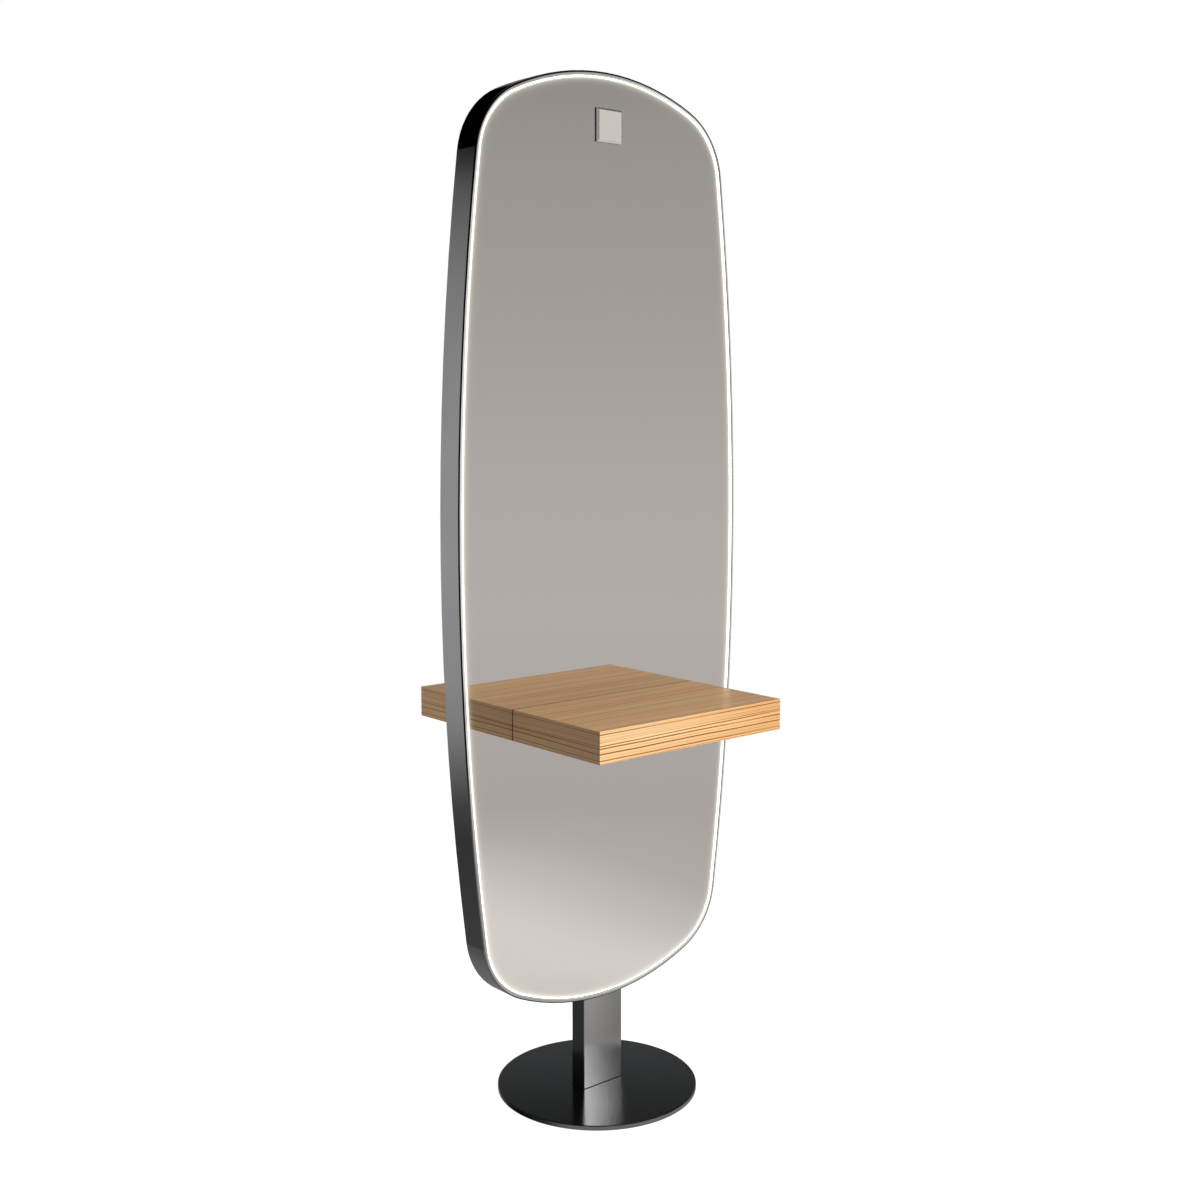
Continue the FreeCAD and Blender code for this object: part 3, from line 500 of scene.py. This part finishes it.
ringLook = {
    "opal": tone(0.95, 0.94, 0.92), "frosted": tone(0.26, 0.255, 0.225),
    "lamp": tone(1.0, 0.985, 0.945), "strength": 1.12,
    "mottle": grey(0.96), "mottleShare": 0.3, "mottleScale": 55.0, "roughness": 0.45, "mottleHaze": 0.1,
}


def opalRing():  # lit acrylic between lip and glass
    look = ringLook
    shader = newShader("lit opal acrylic")
    mottle = shader.noise(shader.place(), look["mottleScale"])
    lit = shader.node("ShaderNodeAttribute", {"attribute_name": "lit"}, None, "Fac")
    lamp = shader.blend(mottle * look["mottleShare"], look["lamp"], look["mottle"])
    return shader.principled(
        Base_Color=shader.blend(lit, look["frosted"], look["opal"]),
        Roughness=look["roughness"] + mottle * look["mottleHaze"],
        Emission_Color=shader.blend(lit, grey(0.0), lamp),
        Emission_Strength=look["strength"],
    )


plateLook = {
    "face": tone(0.575, 0.542, 0.5), "faceDark": tone(0.54, 0.51, 0.47),
    # painted shade: darker top bevel and dark side walls
    "bevel": grey(0.74), "bevelTop": grey(0.4), "wall": grey(0.06),
    "faceAt": (0.9, 0.98), "wallAt": (0.02, 0.2), "topAt": (0.3, 0.6),  # how far a face looks forward or up
    "metallic": 0.85, "faceMatt": 0.7, "roughness": 0.2, "faceHaze": 0.2,
    "brushScale": (30.0, 30.0, 700.0), "brushHaze": 0.06,
}


def plaqueMetal():  # pale satin face, bright bevel, painted shade on the top bevel and on the dark side walls
    look = plateLook
    shader = newShader("satin plate")
    _, forward, up = shader.axes(shader.geometry("True Normal"))
    forward = abs(forward)
    face = forward.rising(*look["faceAt"])
    wall = 1.0 - forward.rising(*look["wallAt"])
    bevel = shader.blend(up.rising(*look["topAt"]), look["bevel"], look["bevelTop"])
    brush = shader.noise(shader.stretch(shader.place(), look["brushScale"]), 1.0, detail=1.0)
    colour = shader.blend(face, bevel, shader.blend(brush, look["face"], look["faceDark"]))
    return shader.principled(
        Base_Color=shader.blend(wall, colour, look["wall"]),
        Metallic=look["metallic"] - face * look["faceMatt"],
        Roughness=look["roughness"] + face * look["faceHaze"] + brush * look["brushHaze"],
    )


rolledLook = {
    "patchScale": 38.0, "patchHaze": 0.12,
    "scratchScale": (30.0, 900.0, 900.0), "scratchHaze": 0.08, "bump": 0.06, "bumpDepth": 0.0002,
}


def rolledMetal(name, pale, dark, roughness):  # plated steel and bare aluminium
    look = rolledLook
    shader = newShader(name)
    place = shader.place()
    patches = shader.noise(place, look["patchScale"], detail=4.0, roughness=0.6)
    scratches = shader.noise(shader.stretch(place, look["scratchScale"]), 1.0)
    return shader.principled(
        Base_Color=shader.blend(patches, pale, dark),
        Metallic=1.0,
        Roughness=roughness + patches * look["patchHaze"] + scratches * look["scratchHaze"],
        Normal=shader.bump(scratches, look["bump"], look["bumpDepth"]),
    )


boardLook = {
    "fibreScale": (160.0, 160.0, 420.0), "roughness": 0.78, "fibreHaze": 0.12,
    "bump": 0.2, "bumpDepth": 0.0004,
}


def fibreboard(name, pale, dark):  # backing panels and shelf blocks
    look = boardLook
    shader = newShader(name)
    place = shader.stretch(shader.place(), look["fibreScale"])
    fibres = shader.noise(place, 1.0, detail=3.0, roughness=0.65)
    return shader.principled(
        Base_Color=shader.blend(fibres, dark, pale),
        Roughness=look["roughness"] + fibres * look["fibreHaze"],
        Normal=shader.bump(fibres, look["bump"], look["bumpDepth"]),
    )


mouldLook = {"grainScale": 900.0, "grainHaze": 0.1, "cloudScale": 14.0, "bump": 0.12, "bumpDepth": 0.0002}


def moulded(name, pale, dark, roughness):  # plastics and rubbers
    look = mouldLook
    shader = newShader(name)
    place = shader.place()
    grain = shader.noise(place, look["grainScale"])
    clouds = shader.noise(place, look["cloudScale"])
    return shader.principled(
        Base_Color=shader.blend(clouds, dark, pale),
        Roughness=roughness + grain * look["grainHaze"],
        Normal=shader.bump(grain, look["bump"], look["bumpDepth"]),
    )


finishes = {
    "dark_metal": frameMetal(),
    "steel": rolledMetal("plated steel", grey(0.6), tone(0.5, 0.5, 0.515), 0.28),
    "mirror_glass": mirrorGlass(),
    "backing_board": fibreboard("backing board", tone(0.36, 0.27, 0.18), tone(0.27, 0.195, 0.125)),
    "bare_aluminium": rolledMetal("bare aluminium", grey(0.74), tone(0.64, 0.645, 0.66), 0.3),
    "light_strip": moulded("light strip", grey(0.86), grey(0.78), 0.5),
    "lit_ring": opalRing(),
    "plaque_metal": plaqueMetal(),
    "veneer": veneer(),
    "shelf_board": fibreboard("shelf board", tone(0.45, 0.34, 0.22), tone(0.33, 0.24, 0.15)),
    "button_metal": rolledMetal("brushed button", grey(0.62), grey(0.52), 0.22),
    "driver_case": moulded("driver case", grey(0.78), grey(0.7), 0.45),
    "wire_sheath": moulded("wire sheath", grey(0.035), grey(0.025), 0.5),
    "black_plastic": moulded("black plastic", grey(0.03), grey(0.022), 0.42),
    "black_rubber": moulded("black rubber", grey(0.024), grey(0.016), 0.65),
}
# channels darker than the bare aluminium of their slot
darkChannel = rolledMetal("darkened channel", grey(0.05), grey(0.03), 0.4)
ownFinishes = {  # nodes that differ from their slot's other nodes
    "post": baseMetal("polished post", dressPost),
    "base_cover": baseMetal("polished disc", dressDisc),
    "front_led_channel": darkChannel, "rear_led_channel": darkChannel,
}
for part in frame["record"]["subparts"]:
    finish = ownFinishes.get(part["node"], finishes[part["material_slot"]])
    for holder in nodes[part["node"]].material_slots:
        holder.material = finish
print("finishes made:", len(finishes) + len(ownFinishes))


# pieces that follow the frame's edge

stations = outlineStations()
sharpAngle = 35  # degrees


def edgePoint(station, inset, depth):  # depth runs towards the viewer
    centreX, centreZ, radius, across, up = station
    reach = radius - inset
    return Vector((centreX + across * reach, -depth, hoopMiddle + centreZ + up * reach))


def ringLoop(mesh, inset, depth):
    return [mesh.verts.new(edgePoint(station, inset, depth)) for station in stations]


def bridge(mesh, first, second):
    count = len(first)
    for i in range(count):
        j = (i + 1) % count
        mesh.faces.new((first[i], first[j], second[j], second[i]))


def addPiece(name, mesh, slotName, body, node, turned):
    bmesh.ops.recalc_face_normals(mesh, faces=mesh.faces)
    if turned:  # half a turn about the upright axis
        for vertex in mesh.verts:
            vertex.co.x = -vertex.co.x
            vertex.co.y = -vertex.co.y
    data = bpy.data.meshes.new(name)
    mesh.to_mesh(data)
    mesh.free()
    data.shade_smooth()
    data.set_sharp_from_angle(angle=math.radians(sharpAngle))
    data.materials.append(finishes[slotName])
    piece = bpy.data.objects.new(name, data)
    scene.collection.objects.link(piece)
    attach(piece, body)
    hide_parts(node)


litRing = {
    "outer": 0.0082, "inner": 0.0134, "back": 0.022, "shoulder": 0.0266, "front": 0.0275,
    "lens": (  # share of the width, swell, how lit
        (0.0, 0.0, 1.0), (0.08, 0.52, 1.0), (0.26, 0.9, 1.0), (0.5, 1.0, 1.0),
        (0.66, 0.96, 0.85), (0.78, 0.82, 0.42), (0.9, 0.56, 0.27), (1.0, 0.0, 0.18),
    ),
}


def litRingPiece(name, node, turned):  # domed opal strip
    look = litRing
    mesh = bmesh.new()
    shine = mesh.verts.layers.float.new("lit")
    profile = [(look["outer"], look["back"], 1.0)]
    for across, swell, lit in look["lens"]:
        inset = look["outer"] + (look["inner"] - look["outer"]) * across
        profile.append((inset, look["shoulder"] + (look["front"] - look["shoulder"]) * swell, lit))
    profile.append((look["inner"], look["back"], look["lens"][-1][2]))
    loops = []
    for inset, depth, lit in profile:
        loops.append(ringLoop(mesh, inset, depth))
        for vertex in loops[-1]:
            vertex[shine] = lit
    for first, second in zip(loops, loops[1:] + loops[:1]):
        bridge(mesh, first, second)
    addPiece(name, mesh, "lit_ring", "station", node, turned)


glassPane = {
    "edge": 0.0136, "bevel": 0.0005, "back": 0.023, "front": 0.027,
    "glow": (  # inset, strength of the painted glow
        (0.0141, 1.0), (0.0155, 0.62), (0.0172, 0.38), (0.0195, 0.2), (0.0225, 0.09), (0.0265, 0.035),
        (0.0315, 0.012), (0.04, 0.0),
    ),
    "rodAcross": 0.15, "rodHeight": 0.788, "rodHole": 0.009, "rodSteps": 48,
}


def glassPiece(name, node, turned):  # pane with bevelled edge, border of painted glow and rod holes
    look = glassPane
    mesh = bmesh.new()
    shine = mesh.verts.layers.float.new("edgeGlow")

    def holeLoop(side, depth):
        loop = []
        for i in range(look["rodSteps"]):
            angle = 2 * math.pi * i / look["rodSteps"]
            x = side * look["rodAcross"] + look["rodHole"] * math.cos(angle)
            loop.append(mesh.verts.new((x, -depth, look["rodHeight"] + look["rodHole"] * math.sin(angle))))
        return loop

    def fillFace(rim, holes):
        edges = []
        for loop in (rim, *holes):
            for i, vertex in enumerate(loop):
                pair = (vertex, loop[(i + 1) % len(loop)])
                edges.append(mesh.edges.get(pair) or mesh.edges.new(pair))
        bmesh.ops.triangle_fill(mesh, use_beauty=True, edges=edges)

    back = ringLoop(mesh, look["edge"], look["back"])
    shoulder = ringLoop(mesh, look["edge"], look["front"] - look["bevel"])
    bridge(mesh, back, shoulder)
    last = shoulder
    for vertex in shoulder:
        vertex[shine] = 1.0
    for inset, amount in look["glow"]:
        loop = ringLoop(mesh, inset, look["front"])
        for vertex in loop:
            vertex[shine] = amount
        bridge(mesh, last, loop)
        last = loop
    frontHoles = [holeLoop(side, look["front"]) for side in (1, -1)]
    backHoles = [holeLoop(side, look["back"]) for side in (1, -1)]
    for first, second in zip(frontHoles, backHoles):
        bridge(mesh, first, second)
    fillFace(last, frontHoles)
    fillFace(back, backHoles)
    addPiece(name, mesh, "mirror_glass", "station", node, turned)


for side, turned in (("front", False), ("rear", True)):
    litRingPiece(f"{side}LitRing", f"{side}_diffuser", turned)
    glassPiece(f"{side}GlassPane", f"{side}_mirror", turned)
print("lit rings and panes made")


# studio

studio = {
    "ambient": 0.28,  # world's light on matt surfaces
    "floorColour": 0.5, "floorLift": 0.78, "floorFade": (0.8, 2.6), "floorSize": 40.0, "floorDrop": 0.0003,
    "tentSize": 60.0, "tentMiddle": 1.1, "frontTint": (1.0, 0.937, 0.885), "rearTint": (1.0, 1.0, 1.0),
    "tentTilt": 0.09,  # lowers the front's pale foot towards the right
}
tentZones = {  # where one part of the tent gives way to the next, as parts of a ray's direction
    "toRear": (-0.25, 0.25), "frontToRight": (-0.25, 0.35), "rearToRight": (-0.45, -0.1),
    "tilt": (0.45, 0.75), "tiltFrom": (-0.385, -0.345), "tiltTo": (-0.33, -0.262),
}
lamps = (  # name, place, aim, size, watts
    ("key lamp", (0.9, -4.25, 2.5), (0.0, -0.15, 0.8), 2.0, 214.0),
    ("rear lamp", (-1.0, 4.2, 2.5), (0.0, 0.15, 0.8), 2.0, 115.0),
)
card = {  # lights the base only
    "place": (0.325, -0.75, 0.365), "aim": (0.0, -0.08, 0.01), "width": 0.44, "height": 0.35,
    "low": tone(1.3, 1.18, 1.09), "high": tone(3.25, 2.95, 2.74),  # brightness at its bottom and top
    "bounces": 1.5,  # shows only to rays with more reflections than this
}
tent = {  # elevation in degrees, brightness seen by the mirror and the metal
    "frontRight": (
        (-90, 0.8), (-44, 0.76), (-34, 0.48), (-25, 0.41), (-23.6, 0.5), (-22.6, 0.66), (-21.9, 0.71),
        (-21.1, 0.695), (-20, 0.632), (-18.7, 0.56), (-17.2, 0.47), (-15.8, 0.42), (-14.5, 0.425),
        (-8.3, 0.478), (-3.8, 0.454), (0, 0.42), (3.6, 0.392), (7.1, 0.362), (10.8, 0.327), (14, 0.26),
        (18, 0.14), (24, 0.05), (46, 0.03), (62, 0.16), (90, 0.3),
    ),
    "frontLeft": (
        (-90, 0.7), (-44, 0.5), (-32, 0.4), (-26, 0.38), (-23, 0.42), (-20, 0.45), (-15, 0.4), (-8, 0.43),
        (0, 0.4), (8, 0.37), (14, 0.3), (20, 0.1), (30, 0.03), (46, 0.02), (62, 0.16), (90, 0.3),
    ),
    "rearRight": (
        (-90, 0.6), (-60, 0.44), (-44, 0.31), (-30, 0.25), (-24, 0.3), (-16, 0.4), (-12, 0.44), (0, 0.42),
        (10, 0.26), (16, 0.15), (20, 0.115), (22.5, 0.105), (23.6, 0.075), (24.3, 0.015), (25.0, 0.0),
        (46, 0.0), (62, 0.16), (90, 0.3),
    ),
    "rearLeft": (
        (-90, 0.2), (-34, 0.17), (-30.5, 0.13), (-27, 0.075), (-22.6, 0.06), (-20.5, 0.1), (-18.7, 0.2),
        (-16, 0.38), (-13, 0.47), (-7, 0.525), (0, 0.516), (6, 0.45), (10, 0.37), (12.7, 0.29),
        (15.3, 0.18), (16.6, 0.07), (18, 0.0), (46, 0.0), (62, 0.16), (90, 0.3),
    ),
}


def pointAt(thing, place, aim):
    thing.location = place
    thing.rotation_euler = (Vector(aim) - Vector(place)).to_track_quat("-Z", "Y").to_euler()


def onlyReflected(thing):  # seen by the mirror and the metal alone
    thing.visible_camera = False
    thing.visible_diffuse = False
    thing.visible_transmission = False
    thing.visible_shadow = False


def seenDirectly(shader):  # rays that look at the background
    path = shader.node("ShaderNodeLightPath")
    seen = path.out("Is Camera Ray").most(path.out("Is Glossy Ray"))
    return seen.most(path.out("Is Transmission Ray"))


def makeWorld():
    world = bpy.data.worlds.new("studio")
    scene.world = world
    shader = Shader(world)
    strength = studio["ambient"] + seenDirectly(shader) * (1.0 - studio["ambient"])
    light = shader.node("ShaderNodeBackground", None, {"Color": grey(1.0), "Strength": strength})
    shader.node("ShaderNodeOutputWorld", None, {"Surface": light})


def stageObject(name, mesh, material):
    data = bpy.data.meshes.new(name)
    mesh.to_mesh(data)
    mesh.free()
    data.materials.append(material)
    thing = bpy.data.objects.new(name, data)
    scene.collection.objects.link(thing)
    return thing


def makeFloor():
    shader = newShader("pale floor")
    distance = shader.vectorMaths("LENGTH", shader.geometry("Position"), out="Value")
    lift = shader.node("ShaderNodeEmission", None, {"Strength": seenDirectly(shader) * studio["floorLift"]})
    matt = shader.node("ShaderNodeBsdfDiffuse", None, {"Color": grey(studio["floorColour"])})
    near = shader.node("ShaderNodeAddShader", None, {0: matt, 1: lift})
    far = shader.node("ShaderNodeEmission", None, {"Strength": seenDirectly(shader)})
    fade = distance.rising(*studio["floorFade"])
    material = shader.surface(shader.node("ShaderNodeMixShader", None, {0: fade, 1: near, 2: far}))
    mesh = bmesh.new()
    bmesh.ops.create_grid(mesh, x_segments=8, y_segments=8, size=studio["floorSize"])
    floor = stageObject("floor", mesh, material)
    floor.location.z = -studio["floorDrop"]
    floor.visible_glossy = False  # the tent stands for it in the mirror


def makeTent():  # grey paper all round, for the mirror and the metal only
    shader = newShader("studio tent")
    ray = shader.vectorMaths("SUBTRACT", shader.geometry("Position"), (0.0, 0.0, studio["tentMiddle"]))
    x, y, z = shader.axes(shader.vectorMaths("NORMALIZE", ray))

    def paper(corner, tint, height):
        stops = [
            ((math.sin(math.radians(angle)) + 1) / 2, tuple(level * share for share in tint))
            for angle, level in tent[corner]
        ]
        settings = {"stops": {"blend": "LINEAR", "at": stops}}
        return shader.node("ShaderNodeValToRGB", settings, {0: height * 0.5 + 0.5})  # from -1..1 to 0..1

    low = z.rising(*tentZones["tiltFrom"]) * (1.0 - z.rising(*tentZones["tiltTo"]))
    tilted = z + (x.rising(*tentZones["tilt"]) - 0.5) * low * studio["tentTilt"]
    left, right = paper("frontLeft", studio["frontTint"], z), paper("frontRight", studio["frontTint"], tilted)
    front = shader.blend(x.rising(*tentZones["frontToRight"]), left, right)
    left, right = paper("rearLeft", studio["rearTint"], z), paper("rearRight", studio["rearTint"], z)
    rear = shader.blend(x.rising(*tentZones["rearToRight"]), left, right)
    colour = shader.blend(y.rising(*tentZones["toRear"]), front, rear)
    material = shader.surface(shader.node("ShaderNodeEmission", None, {"Color": colour, "Strength": 1.0}))
    material.cycles.emission_sampling = "NONE"
    mesh = bmesh.new()
    bmesh.ops.create_icosphere(mesh, subdivisions=5, radius=studio["tentSize"])
    dome = stageObject("studioTent", mesh, material)
    dome.location.z = studio["tentMiddle"]
    onlyReflected(dome)


def makeCard():  # seen by the second reflection between disc and post, so the mirror never shows it
    shader = newShader("reflector card")
    depth = shader.node("ShaderNodeLightPath", None, None, "Glossy Depth")
    deep = depth.maths("GREATER_THAN", depth, card["bounces"])
    clear = shader.node("ShaderNodeBsdfTransparent")
    rise = shader.axes(shader.place())[1]
    colour = shader.blend(rise / card["height"] + 0.5, card["low"], card["high"])
    glow = shader.node("ShaderNodeEmission", None, {"Color": colour})
    material = shader.surface(shader.node("ShaderNodeMixShader", None, {0: deep, 1: clear, 2: glow}))
    material.cycles.emission_sampling = "NONE"
    mesh = bmesh.new()
    bmesh.ops.create_grid(mesh, x_segments=4, y_segments=4, size=0.5)
    for vertex in mesh.verts:
        vertex.co.x *= card["width"]
        vertex.co.y *= card["height"]
    sheet = stageObject("reflectorCard", mesh, material)
    pointAt(sheet, card["place"], card["aim"])
    onlyReflected(sheet)


makeWorld()
makeCard()
makeFloor()
makeTent()
for name, place, aim, size, watts in lamps:
    light = bpy.data.lights.new(name, "AREA")
    light.size = size
    light.energy = watts
    lamp = bpy.data.objects.new(name, light)
    lamp.visible_glossy = False  # the tent stands for it in the metal
    pointAt(lamp, place, aim)
    scene.collection.objects.link(lamp)
print("studio made")

view = {
    "place": (-1.92038, -2.27027, 1.39707), "yaw": 0.7042, "pitch": -0.1318,
    "lens": 45.7213, "sensor": 36.0,
}
lens = bpy.data.cameras.new("camera")
lens.lens = view["lens"]
lens.sensor_width = view["sensor"]
lens.sensor_fit = "HORIZONTAL"
camera = bpy.data.objects.new("camera", lens)
camera.location = view["place"]
camera.rotation_euler = (math.pi / 2 + view["pitch"], 0.0, -view["yaw"])
scene.collection.objects.link(camera)
scene.camera = camera
